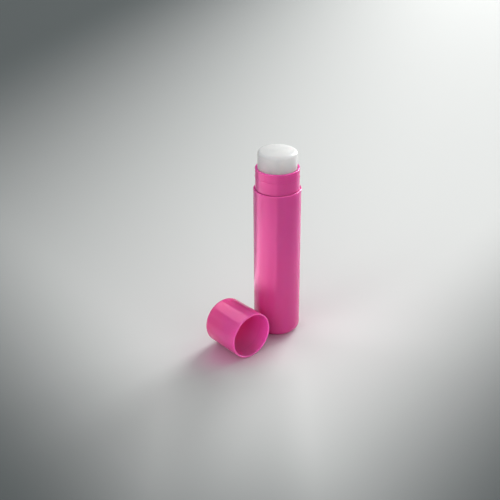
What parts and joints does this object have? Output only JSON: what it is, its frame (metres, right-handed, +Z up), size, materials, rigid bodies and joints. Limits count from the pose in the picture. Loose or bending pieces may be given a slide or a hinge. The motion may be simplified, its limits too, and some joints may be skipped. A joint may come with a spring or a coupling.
{
  "type": "lip balm stick",
  "caption": "Twist-up lip balm stick standing open: pink sleeve, turning inner tube on a central screw, white wax raised above the neck, cap laid beside it.",
  "frame": {"origin": "centre of the sleeve's flat foot, on the stick's axis", "axes": "+Z up the stick towards the balm; the cap lies beside it at -X with its mouth towards -Y"},
  "size_m": [0.0354, 0.0168, 0.067],
  "materials": {
    "sleeve_plastic": "smooth satin-gloss pink, opaque",
    "tube_plastic": "smooth satin-gloss pink, opaque",
    "cap_plastic": "smooth satin-gloss pink, opaque",
    "spindle_plastic": "natural white moulding, hidden inside",
    "cup_plastic": "natural white moulding, hidden inside",
    "balm_wax": "white wax, slightly see-through, soft sheen"
  },
  "bodies": {
    "base": {"outer_sleeve": "sleeve_plastic", "screw_spindle": "spindle_plastic"},
    "tube": {"inner_tube": "tube_plastic"},
    "carrier": {"elevator_cup": "cup_plastic", "lip_balm": "balm_wax"},
    "cap": {"cap": "cap_plastic"}
  },
  "joints": [
    {"name": "tube_twist", "type": "hinge", "parent": "base", "child": "tube", "pos_m": [0, 0, 0.0535], "axis": [0, 0, -1], "range_deg": [-518.9, 1858.1]},
    {"name": "balm_rise", "type": "slide", "parent": "tube", "child": "carrier", "axis": [0, 0, 1], "range_m": [-0.0072, 0.0258]},
    {"name": "cap_lift", "type": "slide", "parent": "base", "child": "cap", "axis": [0, 0, 1], "range_m": [0, 0.06]}
  ],
  "couplings": [
    {"joint": "tube_twist", "follows": "balm_rise", "rad_per_m": 1256.6}
  ]
}
